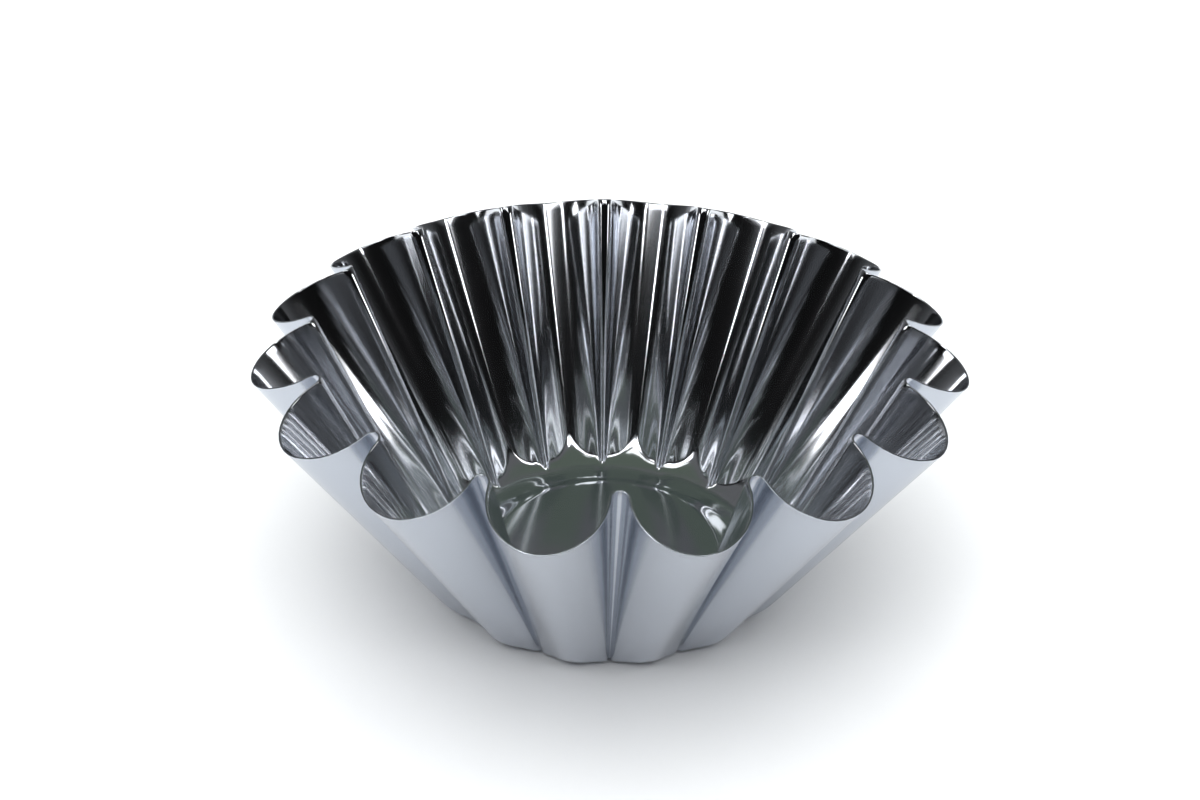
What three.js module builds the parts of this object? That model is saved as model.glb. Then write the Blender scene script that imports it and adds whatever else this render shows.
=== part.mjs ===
// A deep fluted tart pan (brioche tin): one disc of tinplate pressed into a flared, sixteen-fluted cup.
// Millimetres, +Z up. The origin is on the axis, at the underside of the flat base.
import * as THREE from "three";
import { ParametricGeometry } from "three/addons/geometries/ParametricGeometry.js";

const fluteCount = 16;
const sheetThickness = 0.3;

// Radii are to the middle of the sheet. A lobe bulges outwards, and a ridge between two lobes points inwards.
const rimLobeRadius = 60;
const rimRidgeRadius = 50;
const rimRidgeNose = 1.4;
const baseLobeRadius = 31.95;
const baseShoulderRadius = 30.4;
const baseRidgeRadius = 29.5;
const baseDipWidth = 0.5;
const baseCrestPower = 2.5;

// Above 1, the wall's lines lean towards the ridges on their way down.
const gatherPower = 1.3;

// Heights are above the middle of the sheet in the flat base. The cut edge climbs towards each ridge,
// because the blank was round and the ridges lie nearer the axis than the lobes do.
const lobeHeight = 45;
const ridgeRise = 4.8;
const ridgeRisePower = 0.9;

// The base: a large bend into each lobe, a flat ring, a pressed step and a slightly raised middle.
const bendRadius = 9.5;
const stepOuterRadius = 25.8;
const discRadius = 21;
const discRise = 1.1;

// How finely the surface is divided.
const noseSegments = 2;
const flankSegments = 5;
const stepRows = 3;
const bendRows = 3;
const wallRows = 3;

const halfFlute = Math.PI / fluteCount;
const floorLevel = sheetThickness / 2;

// Half a flute at the rim, from the ridge at angle 0 to the lobe's crest: a small nose arc, then a large
// lobe arc tangent to it. The two centres lie a sum of radii apart, which fixes the lobe's radius.
function fluteSection(lobeRadius, ridgeRadius, noseRadius) {
  const noseCentre = ridgeRadius + noseRadius;
  const gap = (r) => {
    const lobeCentre = lobeRadius - r;
    const apart = lobeCentre ** 2 + noseCentre ** 2 - 2 * lobeCentre * noseCentre * Math.cos(halfFlute);
    return apart - (r + noseRadius) ** 2;
  };
  const arcRadius = gap(0) / (gap(0) - gap(1));
  const lobeCentre = lobeRadius - arcRadius;
  const lobeX = lobeCentre * Math.cos(halfFlute);
  const lobeY = lobeCentre * Math.sin(halfFlute);
  const turn = Math.atan2(lobeY, lobeX - noseCentre);
  return { arcRadius, lobeX, lobeY, noseCentre, noseRadius, turn };
}

// A point of the section: share runs from 0 at the ridge to 1 where the arcs meet and 2 at the crest.
function sectionPoint(section, share) {
  if (share <= 1) {
    const angle = Math.PI + (section.turn - Math.PI) * share;
    const x = section.noseCentre + section.noseRadius * Math.cos(angle);
    return new THREE.Vector2(x, section.noseRadius * Math.sin(angle));
  }
  const start = section.turn - Math.PI;
  const angle = start + (halfFlute - start) * (share - 1);
  const x = section.lobeX + section.arcRadius * Math.cos(angle);
  return new THREE.Vector2(x, section.lobeY + section.arcRadius * Math.sin(angle));
}

const rimSection = fluteSection(rimLobeRadius, rimRidgeRadius, rimRidgeNose);
const rimPoint = (share) => sectionPoint(rimSection, share);

// The same place at the base, in polar form: a low lobe, which is a raised cosine to a power, and a narrow
// dip at the ridge.
function basePoint(share) {
  const angle = halfFlute * (rimPoint(share).angle() / halfFlute) ** gatherPower;
  const crest = ((1 - Math.cos((Math.PI * angle) / halfFlute)) / 2) ** baseCrestPower;
  const dip = Math.exp(-(((angle * baseShoulderRadius) / baseDipWidth) ** 2));
  const lobe = (baseLobeRadius - baseShoulderRadius) * crest;
  const radius = baseShoulderRadius + lobe - (baseShoulderRadius - baseRidgeRadius) * dip;
  return new THREE.Vector2(radius * Math.cos(angle), radius * Math.sin(angle));
}

// A point of an outline in any of the flutes: place runs from 0 to 4 over a flute, ridge to crest to ridge.
function aroundPoint(outline, place) {
  const flute = Math.floor(place / 4);
  const within = place - 4 * flute;
  const point = outline(within <= 2 ? within : 4 - within);
  if (within > 2) point.y = -point.y;
  const ridge = within <= 2 ? flute : flute + 1;
  return point.rotateAround(new THREE.Vector2(), 2 * halfFlute * ridge);
}

// Height of the bend's arc at a radius. It leaves the floor level and meets the lobes' crest line tangent.
const wallLean = Math.atan2(lobeHeight, rimLobeRadius - baseLobeRadius);
const bendStart = baseLobeRadius - bendRadius * Math.tan(wallLean / 2);
const bendEnd = bendStart + bendRadius * Math.sin(wallLean);
function bendHeight(radius) {
  const reach = THREE.MathUtils.clamp(radius, bendStart, bendEnd) - bendStart;
  return bendRadius - Math.sqrt(bendRadius ** 2 - reach ** 2);
}

// Height of the pressed step: level outside, level and raised inside, an S between.
function stepHeight(radius) {
  return discRise * (1 - THREE.MathUtils.smoothstep(radius, discRadius, stepOuterRadius));
}

// Its rise for each millimetre outwards, which is the slope of the same S.
function stepSlope(radius) {
  const width = stepOuterRadius - discRadius;
  const share = THREE.MathUtils.clamp((radius - discRadius) / width, 0, 1);
  return (-6 * discRise * share * (1 - share)) / width;
}

// The wall is ruled: a straight line from the cut edge down to the base's outline.
function wallPoint(place, drop) {
  const top = aroundPoint(rimPoint, place);
  const foot = aroundPoint(basePoint, place);
  const inset = Math.max(rimLobeRadius - top.length(), 0) / (rimLobeRadius - rimRidgeRadius);
  const height = lobeHeight + ridgeRise * inset ** ridgeRisePower;
  const flat = top.lerp(foot, drop);
  return new THREE.Vector3(flat.x, flat.y, height * (1 - drop));
}

// How far down its line the wall meets the bend. Past the bend's end there is only wall.
function meetingDrop(place) {
  let low = 0;
  let high = 1;
  for (let pass = 0; pass < 40; pass++) {
    const middle = (low + high) / 2;
    const point = wallPoint(place, middle);
    const radius = Math.hypot(point.x, point.y);
    if (radius > bendEnd || point.z > bendHeight(radius)) low = middle;
    else high = middle;
  }
  return low;
}

// Rows run from the centre of the base (0) to the cut edge: disc, step, ring, bend, wall.
const stepFrom = 1;
const ringFrom = stepFrom + stepRows;
const bendFrom = ringFrom + 1;
const wallFrom = bendFrom + bendRows;
const rimRow = wallFrom + wallRows;

// The middle of the sheet, as a function of the place around and the row.
function sheetPoint(place, row) {
  const drop = meetingDrop(place);
  if (row > wallFrom) {
    const climbed = Math.min((row - wallFrom) / wallRows, 1);
    return wallPoint(place, drop * (1 - climbed));
  }
  const foot = wallPoint(place, drop);
  const footRadius = Math.hypot(foot.x, foot.y);
  const stations = [0, discRadius, stepOuterRadius, bendStart, footRadius];
  const rows = [0, stepFrom, ringFrom, bendFrom, wallFrom];
  const part = rows.findIndex((first) => row <= first) || 1;
  const share = (row - rows[part - 1]) / (rows[part] - rows[part - 1]);
  const radius = THREE.MathUtils.lerp(stations[part - 1], stations[part], share);
  const scale = radius / footRadius;
  return new THREE.Vector3(foot.x * scale, foot.y * scale, stepHeight(radius) + bendHeight(radius));
}

// The sheet's upward and inward normal: from the step's slope in the base, and further out from small
// steps along the two directions.
function sheetNormal(place, row) {
  if (row <= bendFrom) {
    const point = sheetPoint(place, row);
    const radius = Math.hypot(point.x, point.y);
    const lean = radius > 0 ? stepSlope(radius) / radius : 0;
    return new THREE.Vector3(-lean * point.x, -lean * point.y, 1).normalize();
  }
  const nudge = 0.02;
  const above = Math.min(row + nudge, rimRow);
  const along = sheetPoint(place, above).sub(sheetPoint(place, row - nudge));
  const across = sheetPoint(place + nudge, row).sub(sheetPoint(place - nudge, row));
  return along.cross(across).normalize();
}

// Places around are spaced so that each ridge's nose and each lobe get their own share of segments.
const segmentsPerFlute = 2 * (noseSegments + flankSegments);
function placeOf(segment) {
  const flute = Math.floor(segment / segmentsPerFlute);
  const within = segment - flute * segmentsPerFlute;
  const mirrored = Math.min(within, segmentsPerFlute - within);
  const share =
    mirrored <= noseSegments ? mirrored / noseSegments : 1 + (mirrored - noseSegments) / flankSegments;
  return 4 * flute + (within === mirrored ? share : 4 - share);
}

// One closed skin: up the inside from the centre of the base, over the cut edge and back underneath.
function panGeometry() {
  const around = fluteCount * segmentsPerFlute;
  const rows = 2 * rimRow + 1;
  const cache = new Map();
  const skin = (u, v, target) => {
    const segment = Math.round((1 - u) * around) % around;
    const step = Math.round(v * rows);
    const key = segment * (rows + 1) + step;
    if (!cache.has(key)) {
      const place = placeOf(segment);
      const inside = step <= rimRow;
      const row = inside ? step : rows - step;
      const offset = (inside ? 1 : -1) * (sheetThickness / 2);
      const point = sheetPoint(place, row).addScaledVector(sheetNormal(place, row), offset);
      point.z += floorLevel;
      cache.set(key, point);
    }
    target.copy(cache.get(key));
  };
  return new ParametricGeometry(skin, around, rows);
}

const tinplate = new THREE.MeshStandardMaterial({ color: 0xc9ccd0, roughness: 0.25, metalness: 1 });
const pan = new THREE.Mesh(panGeometry(), tinplate);
pan.name = "fluted_pan";

const tartPan = new THREE.Group();
tartPan.add(pan);
export default tartPan;
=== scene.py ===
import bpy
import math
import numpy as np
from mathutils import Matrix, Vector


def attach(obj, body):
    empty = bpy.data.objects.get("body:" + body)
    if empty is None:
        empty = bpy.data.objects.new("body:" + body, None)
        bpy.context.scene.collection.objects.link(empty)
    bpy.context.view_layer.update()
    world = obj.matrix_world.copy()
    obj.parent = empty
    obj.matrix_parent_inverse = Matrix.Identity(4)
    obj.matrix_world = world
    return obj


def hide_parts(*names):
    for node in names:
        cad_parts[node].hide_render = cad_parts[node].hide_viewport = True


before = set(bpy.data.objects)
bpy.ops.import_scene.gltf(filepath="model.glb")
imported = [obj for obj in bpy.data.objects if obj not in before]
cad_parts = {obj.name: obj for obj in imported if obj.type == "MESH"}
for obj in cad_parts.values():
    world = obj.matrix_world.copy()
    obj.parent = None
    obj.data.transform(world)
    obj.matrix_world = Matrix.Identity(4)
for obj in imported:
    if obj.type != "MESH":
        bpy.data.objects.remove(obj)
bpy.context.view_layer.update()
print("frame loaded")

# Sizes in millimetres, to the middle of the sheet. A lobe bulges outwards, a ridge points inwards.
pan = {
    "flutes": 16,
    "sheet": 0.3,
    "rimLobe": 60.0,
    "rimRidge": 50.0,
    "rimNose": 1.4,
    "baseLobe": 31.95,
    "baseShoulder": 30.4,  # beside a ridge
    "baseRidge": 29.5,
    "dipWidth": 0.5,       # half the width of the dip that a ridge makes in the base's outline
    "crestPower": 2.5,     # above 1, the lobes are narrower than a cosine wave
    "gather": 1.3,         # above 1, the wall's lines lean towards the ridges on the way down
    "lobeHeight": 45.0,
    "ridgeRise": 4.8,
    "risePower": 0.9,
    "bend": 9.5,
    "stepOuter": 25.8,
    "disc": 21.0,
    "discRise": 1.1,
    "crease": 0.9,         # how far the rounding reaches each way where wall meets bend
    "leastRing": 0.05,     # the least width of the bend before the crease
    "lip": 1.5,            # the top of the wall that flares a little
    "lobeFlare": 0.05,
    "ridgeFlare": 0.25,
    "flareReach": 1.3,     # how far round a ridge its flare goes: 1 is where nose and lobe meet
    "burr": 0.06,          # how far the sheared edge is rounded
}
panGrid = {
    "nose": 6,           # segments over half a ridge's nose
    "lobe": 10,          # and over half a lobe
    "discRows": 5,
    "stepRows": 14,
    "ringRows": 2,
    "bendRows": 8,
    "creaseRows": 8,
    "wallRows": 44,
    "lipRows": 8,
    "edgeRows": 4,
}


# Half a flute: a nose arc, then a lobe arc tangent to it. Their centres lie a sum of radii apart,
# and that condition is linear in the lobe's radius.
def fluteSection(lobe, ridge, nose):
    half = math.pi / pan["flutes"]
    noseAt = ridge + nose

    def gap(r):
        at = lobe - r
        return at**2 + noseAt**2 - 2 * at * noseAt * math.cos(half) - (r + nose) ** 2

    arc = gap(0) / (gap(0) - gap(1))
    lobeX = (lobe - arc) * math.cos(half)
    lobeY = (lobe - arc) * math.sin(half)
    turn = math.atan2(lobeY, lobeX - noseAt)
    section = {"half": half, "turn": turn, "arc": arc, "lobeX": lobeX, "lobeY": lobeY}
    return section | {"nose": nose, "noseAt": noseAt}


# share 0 is the ridge, 1 is where the arcs meet, 2 is the lobe's crest.
def sectionPoints(section, share):
    noseAngle = math.pi + (section["turn"] - math.pi) * np.minimum(share, 1)
    start = section["turn"] - math.pi
    lobeAngle = start + (section["half"] - start) * np.maximum(share - 1, 0)
    onNose = share <= 1
    x = np.where(onNose, section["noseAt"] + section["nose"] * np.cos(noseAngle),
                 section["lobeX"] + section["arc"] * np.cos(lobeAngle))
    y = np.where(onNose, section["nose"] * np.sin(noseAngle),
                 section["lobeY"] + section["arc"] * np.sin(lobeAngle))
    return x, y


# Half a flute at the base, in polar form: a raised cosine to a power, and a narrow Gaussian dip at the ridge.
def footPoints(turns):
    half = math.pi / pan["flutes"]
    angle = half * (turns / half) ** pan["gather"]
    crest = ((1 - np.cos(math.pi * angle / half)) / 2) ** pan["crestPower"]
    dip = np.exp(-(angle * pan["baseShoulder"] / pan["dipWidth"]) ** 2)
    radius = pan["baseShoulder"] + (pan["baseLobe"] - pan["baseShoulder"]) * crest
    radius -= (pan["baseShoulder"] - pan["baseRidge"]) * dip
    return radius * np.cos(angle), radius * np.sin(angle)


# The flutes all the way round, as x and y for each of the columns. A flute is its half and the mirror image.
def allRound(x, y):
    half = math.pi / pan["flutes"]
    mirrorX = x[-2:0:-1] * math.cos(2 * half) + y[-2:0:-1] * math.sin(2 * half)
    mirrorY = x[-2:0:-1] * math.sin(2 * half) - y[-2:0:-1] * math.cos(2 * half)
    x = np.concatenate([x, mirrorX])
    y = np.concatenate([y, mirrorY])
    angle = 2 * half * np.arange(pan["flutes"])[:, None]
    return (x * np.cos(angle) - y * np.sin(angle)).ravel(), (x * np.sin(angle) + y * np.cos(angle)).ravel()


def smooth(t):
    t = np.clip(t, 0, 1)
    return t * t * (3 - 2 * t)


# The height of the base at a radius: a raised disc, an S step down, a flat ring, then the bend's arc.
wallLean = math.atan2(pan["lobeHeight"], pan["rimLobe"] - pan["baseLobe"])
bendStart = pan["baseLobe"] - pan["bend"] * math.tan(wallLean / 2)
bendEnd = bendStart + pan["bend"] * math.sin(wallLean)


def baseHeight(radius):
    step = pan["discRise"] * (1 - smooth((radius - pan["disc"]) / (pan["stepOuter"] - pan["disc"])))
    reach = np.clip(radius, bendStart, bendEnd) - bendStart
    return step + pan["bend"] - np.sqrt(pan["bend"] ** 2 - reach**2)


# The middle of the sheet on a grid of rows (centre to rim) and columns (around).
# The wall is ruled, a straight line from the rim's curve to the base's. It is followed down to where it
# meets the bend, rounded there by a quadratic curve, and then the base is followed inwards.
def sheetMiddle():
    g = panGrid
    nose = np.linspace(0, 1, g["nose"] + 1)
    lobe = 1 + np.linspace(0, 1, g["lobe"] + 1)[1:]
    share = np.concatenate([nose, lobe])
    halfX, halfY = sectionPoints(fluteSection(pan["rimLobe"], pan["rimRidge"], pan["rimNose"]), share)
    topX, topY = allRound(halfX, halfY)
    footX, footY = allRound(*footPoints(np.arctan2(halfY, halfX)))
    inset = np.clip(pan["rimLobe"] - np.hypot(topX, topY), 0, None) / (pan["rimLobe"] - pan["rimRidge"])
    top = np.stack([topX, topY, pan["lobeHeight"] + pan["ridgeRise"] * inset ** pan["risePower"]], -1)
    foot = np.stack([footX, footY, np.zeros_like(footX)], -1)

    low = np.zeros(len(topX))
    high = np.ones(len(topX))
    for halving in range(40):
        middle = (low + high) / 2
        point = top + (foot - top) * middle[:, None]
        radius = np.hypot(point[:, 0], point[:, 1])
        above = (radius > bendEnd) | (point[:, 2] > baseHeight(radius))
        low = np.where(above, middle, low)
        high = np.where(above, high, middle)
    meet = top + (foot - top) * low[:, None]
    meetRadius = np.hypot(meet[:, 0], meet[:, 1])
    outward = meet[:, :2] / meetRadius[:, None]

    def onBase(radius):
        return np.concatenate([outward * radius[:, None], baseHeight(radius)[:, None]], 1)

    length = np.linalg.norm(meet - top, axis=1)
    upWall = (top - meet) / length[:, None]
    innerRadius = meetRadius - pan["crease"]
    inner = onBase(innerRadius)
    outer = meet + upWall * pan["crease"]
    rows = [np.zeros_like(meet) + [0, 0, pan["discRise"]]]
    ringEnd = np.minimum(bendStart, innerRadius - pan["leastRing"])
    spans = [(0, pan["disc"], g["discRows"]), (pan["disc"], pan["stepOuter"], g["stepRows"])]
    spans += [(pan["stepOuter"], ringEnd, g["ringRows"]), (ringEnd, innerRadius, g["bendRows"])]
    for start, end, count in spans:
        for k in range(1, count + 1):
            rows.append(onBase(start + (end - start) * k / count + np.zeros_like(meetRadius)))
    for k in range(1, g["creaseRows"] + 1):
        t = k / g["creaseRows"]
        rows.append(inner * (1 - t) ** 2 + meet * 2 * t * (1 - t) + outer * t**2)
    lipFoot = top - upWall * pan["lip"]
    rows += [outer + (lipFoot - outer) * (k / g["wallRows"]) for k in range(1, g["wallRows"] + 1)]
    rows += [lipFoot + (top - lipFoot) * (k / g["lipRows"]) for k in range(1, g["lipRows"] + 1)]
    middle = np.array(rows)

    # the lip flares outwards with the square of the way up it, most at the ridges
    noseWeight = smooth(1 - np.concatenate([share, share[-2:0:-1]]) / pan["flareReach"])
    flare = pan["lobeFlare"] + (pan["ridgeFlare"] - pan["lobeFlare"]) * np.tile(noseWeight, pan["flutes"])
    upLip = np.zeros(len(rows))
    upLip[-g["lipRows"]:] = (np.arange(g["lipRows"]) + 1) / g["lipRows"]
    return middle - sheetNormals(middle) * (upLip[:, None] ** 2 * flare)[:, :, None]


# Normals of the grid from central differences, pointing in and up.
def sheetNormals(middle):
    along = np.gradient(middle, axis=0)
    across = np.roll(middle, -1, 1) - np.roll(middle, 1, 1)
    normal = np.cross(along, across)
    normal[0] = [0, 0, 1]
    return normal / np.linalg.norm(normal, axis=2, keepdims=True)


# The skin of the sheet: inside from the centre to the rim, over the sheared edge, and back underneath.
# Each side is the middle moved half the thickness along the normal, and the edge is half an ellipse.
def panSkin():
    middle = sheetMiddle()
    normal = sheetNormals(middle)
    half = pan["sheet"] / 2
    up = middle[-1] - middle[-2]
    up = up / np.linalg.norm(up, axis=1, keepdims=True)
    edge = []
    for k in range(1, panGrid["edgeRows"]):
        angle = math.pi * k / panGrid["edgeRows"]
        edge.append(middle[-1] + normal[-1] * half * math.cos(angle) + up * pan["burr"] * math.sin(angle))
    skin = np.concatenate([middle + normal * half, np.array(edge), (middle - normal * half)[::-1]])
    skin[:, :, 2] += half
    return skin


# Four values at each point for the material: the cosine and sine of its column's angle, how far along the
# sheet it lies as a share of the whole length, and 1 on the outside or 0 on the inside.
def sheetMarks(skin):
    count, around = skin.shape[:2]
    side = np.zeros((count, around))
    side[count // 2:] = 1
    travel = np.linalg.norm(np.diff(skin, axis=0), axis=2)
    along = np.concatenate([np.zeros((1, around)), np.cumsum(travel, axis=0)])
    angle = np.arctan2(skin[count // 2, :, 1], skin[count // 2, :, 0])
    marks = np.zeros((count, around, 4))
    marks[:, :, 0] = np.cos(angle)
    marks[:, :, 1] = np.sin(angle)
    marks[:, :, 2] = np.minimum(along, along[-1] - along) / along[-1].mean()
    marks[:, :, 3] = side
    return marks


# A closed mesh from rows of one loop each, whose first and last rows are single points.
def meshFromRows(name, rows, marks):
    count, around = rows.shape[:2]

    def asPoints(grid):
        return np.concatenate([grid[0, :1], grid[1:-1].reshape(-1, grid.shape[2]), grid[-1, :1]])

    points = asPoints(rows) * 0.001
    here = np.arange(around)
    after = (here + 1) % around
    line = 1 + around * np.arange(count - 3)[:, None]
    quads = np.stack([line + here, line + around + here, line + around + after, line + after], -1)
    quads = quads.reshape(-1, 4)
    last = len(points) - 1
    lastLine = 1 + around * (count - 3)
    fans = [np.stack([np.zeros_like(here), here + 1, after + 1], -1),
            np.stack([lastLine + after, lastLine + here, np.full_like(here, last)], -1)]
    mesh = bpy.data.meshes.new(name)
    mesh.vertices.add(len(points))
    mesh.vertices.foreach_set("co", points.astype(np.float32).ravel())
    corners = np.concatenate([quads.ravel(), fans[0].ravel(), fans[1].ravel()])
    sizes = np.concatenate([np.full(len(quads), 4), np.full(2 * around, 3)])
    starts = np.concatenate([[0], np.cumsum(sizes)[:-1]])
    mesh.loops.add(len(corners))
    mesh.loops.foreach_set("vertex_index", corners.astype(np.int32))
    mesh.polygons.add(len(sizes))
    mesh.polygons.foreach_set("loop_start", starts.astype(np.int32))
    mesh.polygons.foreach_set("use_smooth", np.ones(len(sizes), bool))
    mesh.update(calc_edges=True)
    values = asPoints(marks).astype(np.float32)
    drawn = mesh.attributes.new("drawn", "FLOAT_VECTOR", "POINT")
    drawn.data.foreach_set("vector", values[:, :3].ravel())
    outside = mesh.attributes.new("outside", "FLOAT", "POINT")
    outside.data.foreach_set("value", values[:, 3].copy())
    mesh.validate()
    made = bpy.data.objects.new(name, mesh)
    bpy.context.scene.collection.objects.link(made)
    return made


panSurface = panSkin()
panPiece = meshFromRows("pressedPan", panSurface, sheetMarks(panSurface))
print("pan made", len(panPiece.data.polygons), "faces")


# the looks
def linear(code):
    channels = [int(code[k:k + 2], 16) / 255 for k in (0, 2, 4)]
    return [c / 12.92 if c <= 0.04045 else ((c + 0.055) / 1.055) ** 2.4 for c in channels] + [1.0]


def newMaterial(name):
    material = bpy.data.materials.new(name)
    material.use_nodes = True
    material.node_tree.nodes.clear()
    return material


# Adds a node with its settings. inputs gives a value, or (node, output) to link, for each named socket.
def addNode(material, kind, settings=None, inputs=None):
    tree = material.node_tree
    node = tree.nodes.new("ShaderNode" + kind)
    for key, value in (settings or {}).items():
        setattr(node, key, value)
    for key, value in (inputs or {}).items():
        if isinstance(value, tuple) and hasattr(value[0], "outputs"):
            tree.links.new(value[0].outputs[value[1]], node.inputs[key])
        else:
            node.inputs[key].default_value = value
    return node


tinplateLook = {
    "insideColour": "e2e4e8",
    # the outside colour is darker than the inside colour of the same tinplate: painted shade that dims the
    # outside's reflections
    "outsideShadedColour": "c6cad1",
    "insideRoughness": 0.11,
    "outsideRoughness": 0.22,
    "roughnessDrift": 0.025,    # handling and baking leave patches a little duller
    "driftSize": 9.0,           # millimetres
    "lineSpacing": 0.35,        # draw lines up the wall, millimetres apart at the rim
    "lineDrift": 3.0,           # how often a line changes on its way up, as a noise scale
    "lineDepth": 0.0007,        # millimetres
    "grainSize": 0.32,          # spangle of the tin, drawn coarser than the real 0.1 mm so that it shows
    "grainDepth": 0.0007,
    "waveSize": 6.0,            # slight unevenness of pressed sheet
    "waveDepth": 0.002,
}


# Tinplate: cold-rolled steel with a bright flow-melted tin coat, drawn and pressed into flutes.
# To the eye it is a cool, nearly mirror-bright metal inside, where the punch burnished it, and satin
# outside, with fine lines up the wall, a faint spangle and slightly dull patches. The outside is given a
# darker colour than the inside as painted shade, to dim its reflections.
def makeTinplate():
    look = tinplateLook
    material = newMaterial("pressedTinplate")
    drawn = addNode(material, "Attribute", {"attribute_name": "drawn"})
    outside = addNode(material, "Attribute", {"attribute_name": "outside"})
    place = addNode(material, "TexCoord")

    # lines: noise that is tight around the pan and slow along the wall
    lineShape = addNode(material, "Mapping", None, {
        "Vector": (drawn, "Vector"), "Scale": (pan["rimLobe"], pan["rimLobe"], look["lineDrift"])})
    lines = addNode(material, "TexNoise", None, {
        "Vector": (lineShape, "Vector"), "Scale": 0.5 / look["lineSpacing"], "Detail": 3.0})
    grain = addNode(material, "TexNoise", None, {
        "Vector": (place, "Object"), "Scale": 1000 * 0.5 / look["grainSize"], "Detail": 2.0})
    wave = addNode(material, "TexNoise", None, {
        "Vector": (place, "Object"), "Scale": 1000 * 0.5 / look["waveSize"], "Detail": 1.0})
    drift = addNode(material, "TexNoise", None, {
        "Vector": (place, "Object"), "Scale": 1000 * 0.5 / look["driftSize"], "Detail": 4.0})

    waveBump = addNode(material, "Bump", None, {
        "Height": (wave, "Fac"), "Distance": 0.001 * look["waveDepth"]})
    lineBump = addNode(material, "Bump", None, {
        "Height": (lines, "Fac"), "Distance": 0.001 * look["lineDepth"], "Normal": (waveBump, "Normal")})
    grainBump = addNode(material, "Bump", None, {
        "Height": (grain, "Fac"), "Distance": 0.001 * look["grainDepth"], "Normal": (lineBump, "Normal")})

    sideRoughness = addNode(material, "MapRange", None, {
        "Value": (outside, "Fac"), "To Min": look["insideRoughness"], "To Max": look["outsideRoughness"]})
    roughness = addNode(material, "MapRange", None, {
        "Value": (drift, "Fac"), "From Min": 0.4, "From Max": 0.7,
        "To Min": 0.0, "To Max": look["roughnessDrift"]})
    total = addNode(material, "Math", {"operation": "ADD"}, {
        0: (sideRoughness, "Result"), 1: (roughness, "Result")})
    # the outside gets the darker colour, painted shade on the same tinplate
    colour = addNode(material, "Mix", {"data_type": "RGBA"}, {
        "Factor": (outside, "Fac"), 6: linear(look["insideColour"]), 7: linear(look["outsideShadedColour"])})
    shader = addNode(material, "BsdfPrincipled", None, {
        "Base Color": (colour, 2),
        "Metallic": 1.0,
        "Roughness": (total, "Value"),
        "Normal": (grainBump, "Normal"),
    })
    addNode(material, "OutputMaterial", None, {"Surface": (shader, "BSDF")})
    return material


panPiece.data.materials.append(makeTinplate())
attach(panPiece, "root")
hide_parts("fluted_pan")

# Metres. The floor lies just under the pan, so that the two faces don't share a plane.
# Matte paper sweep. To the eye it is an even white with no shine.
floorLook = {"size": 3.0, "drop": 0.00002, "colour": "f4f5f6", "roughness": 0.9}


def makeFloor():
    reach = floorLook["size"] / 2
    corners = [(-reach, -reach), (reach, -reach), (reach, reach), (-reach, reach)]
    mesh = bpy.data.meshes.new("paleFloor")
    mesh.from_pydata([(x, y, -floorLook["drop"]) for x, y in corners], [], [(0, 1, 2, 3)])
    floor = bpy.data.objects.new("paleFloor", mesh)
    bpy.context.scene.collection.objects.link(floor)
    material = newMaterial("mattePaper")
    shader = addNode(material, "BsdfPrincipled", None, {
        "Base Color": linear(floorLook["colour"]), "Roughness": floorLook["roughness"]})
    addNode(material, "OutputMaterial", None, {"Surface": (shader, "BSDF")})
    mesh.materials.append(material)


makeFloor()

# Degrees and metres. Azimuth 0 is in front, and positive to the right. The overhead fill lights the floor
# and doesn't show in the metal.
lamps = [
    {"name": "frontSoftbox", "azimuth": -14, "elevation": 54, "size": (1.1, 0.3), "glow": 1.7},
    {"name": "leftStrip", "azimuth": -36, "elevation": 46, "size": (0.05, 0.4), "glow": 7.0},
    {"name": "rightStrip", "azimuth": 36, "elevation": 46, "size": (0.05, 0.4), "glow": 7.0},
    {"name": "leftSoftbox", "azimuth": -70, "elevation": 17, "size": (0.36, 0.2), "glow": 2.8},
    {"name": "rightSoftbox", "azimuth": 70, "elevation": 14, "size": (0.36, 0.2), "glow": 2.8},
    {"name": "highSoftbox", "azimuth": -50, "elevation": 70, "size": (0.4, 0.3), "glow": 1.3},
    {"name": "overheadFill", "azimuth": 0, "elevation": 90, "size": (2.0, 2.0), "glow": 1.9,
     "mirrored": False},
]
lampDistance = 1.0


# An area lamp's glow is the radiance of its face, so its power is glow times area times pi.
def makeLamps():
    for lamp in lamps:
        data = bpy.data.lights.new(lamp["name"], "AREA")
        data.shape = "RECTANGLE"
        data.size, data.size_y = lamp["size"]
        data.energy = lamp["glow"] * data.size * data.size_y * math.pi
        made = bpy.data.objects.new(lamp["name"], data)
        azimuth = math.radians(lamp["azimuth"])
        elevation = math.radians(lamp["elevation"])
        flat = math.cos(elevation)
        away = Vector((math.sin(azimuth) * flat, -math.cos(azimuth) * flat, math.sin(elevation)))
        made.location = away * lampDistance
        made.rotation_euler = away.to_track_quat("Z", "Y").to_euler()
        made.visible_glossy = lamp.get("mirrored", True)
        bpy.context.scene.collection.objects.link(made)


makeLamps()

studio = {"front": 0.012, "back": 0.14, "top": 0.2, "horizon": 0.4,
          "wallTint": "fafcff", "topTint": "ecffed", "backdrop": "f7f8f9"}


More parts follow.
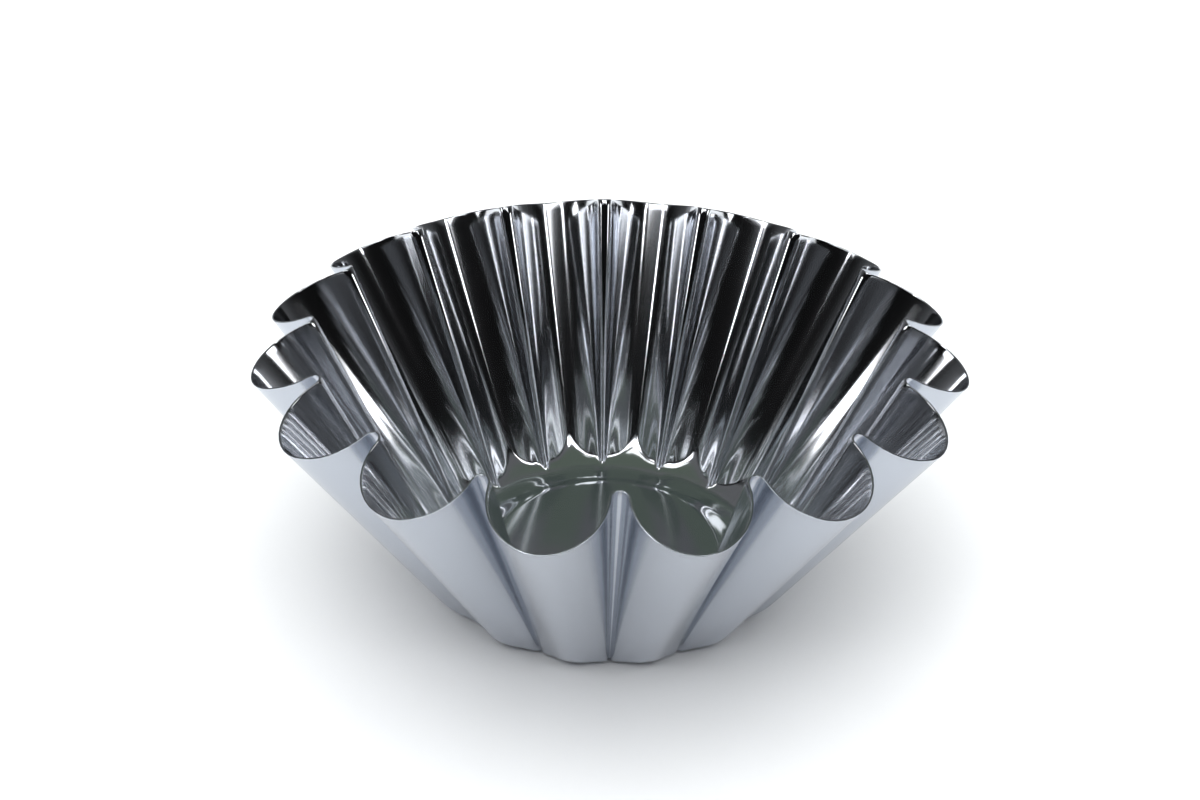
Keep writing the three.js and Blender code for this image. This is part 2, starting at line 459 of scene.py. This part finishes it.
# Heights and depths in makeWorld are parts of a unit direction: Z is the sine of the elevation, and Y runs
# from -1 in front to 1 behind.
# The room: near black in front, dim grey behind, and dim above with a green tint overhead.
# The backdrop is pale.
def makeWorld():
    world = bpy.data.worlds.new("dimStudio")
    bpy.context.scene.world = world
    world.use_nodes = True
    world.node_tree.nodes.clear()
    where = addNode(world, "TexCoord")
    parts = addNode(world, "SeparateXYZ", None, {"Vector": (where, "Generated")})
    behind = addNode(world, "MapRange", {"interpolation_type": "SMOOTHSTEP"}, {
        "Value": (parts, "Y"), "From Min": -0.5, "From Max": 0.5,
        "To Min": studio["front"], "To Max": studio["back"]})
    above = addNode(world, "MapRange", {"interpolation_type": "SMOOTHSTEP"}, {
        "Value": (parts, "Z"), "From Min": 0.57, "From Max": 0.66, "To Min": 0.0, "To Max": 1.0})
    overhead = addNode(world, "MapRange", {"interpolation_type": "SMOOTHSTEP"}, {
        "Value": (parts, "Z"), "From Min": 0.8, "From Max": 0.95, "To Min": 0.0, "To Max": 1.0})
    tint = addNode(world, "Mix", {"data_type": "RGBA"}, {
        "Factor": (overhead, "Result"), 6: linear(studio["wallTint"]), 7: linear(studio["topTint"])})
    blend = addNode(world, "Mix", {"data_type": "FLOAT"}, {
        "Factor": (above, "Result"), "A": (behind, "Result"), "B": studio["top"]})
    low = addNode(world, "MapRange", {"interpolation_type": "SMOOTHSTEP"}, {
        "Value": (parts, "Z"), "From Min": 0.06, "From Max": 0.2, "To Min": 1.0, "To Max": 0.0})
    sides = addNode(world, "MapRange", {"interpolation_type": "SMOOTHSTEP"}, {
        "Value": (parts, "Y"), "From Min": 0.0, "From Max": 0.6, "To Min": 0.0, "To Max": studio["horizon"]})
    glow = addNode(world, "Mix", {"data_type": "FLOAT"}, {
        "Factor": (low, "Result"), "A": (blend, "Result"), "B": (sides, "Result")})
    dim = addNode(world, "Background", None, {"Color": (tint, 2), "Strength": (glow, "Result")})
    pale = addNode(world, "Background", None, {"Color": linear(studio["backdrop"])})
    path = addNode(world, "LightPath")
    shown = addNode(world, "MixShader", None, {
        "Fac": (path, "Is Camera Ray"), 1: (dim, "Background"), 2: (pale, "Background")})
    addNode(world, "OutputWorld", None, {"Surface": (shown, "Shader")})


makeWorld()

# Millimetres for the places and the lens, degrees for the roll.
view = {"from": (-7.76, -217.75, 167.3), "at": (-1.6, 0, 33.95), "roll": 1.095, "lens": 43.81}


def makeCamera():
    data = bpy.data.cameras.new("camera")
    data.sensor_width = 36.0
    data.lens = view["lens"]
    camera = bpy.data.objects.new("camera", data)
    start = Vector(view["from"]) * 0.001
    aim = Vector(view["at"]) * 0.001
    turn = (aim - start).to_track_quat("-Z", "Y").to_matrix().to_4x4()
    roll = Matrix.Rotation(math.radians(view["roll"]), 4, "Z")
    camera.matrix_world = Matrix.Translation(start) @ turn @ roll
    bpy.context.scene.collection.objects.link(camera)
    bpy.context.scene.camera = camera


makeCamera()
bpy.context.scene.view_settings.view_transform = "Standard"
# below 1, this deepens the dark reflections
bpy.context.scene.view_settings.gamma = 0.8
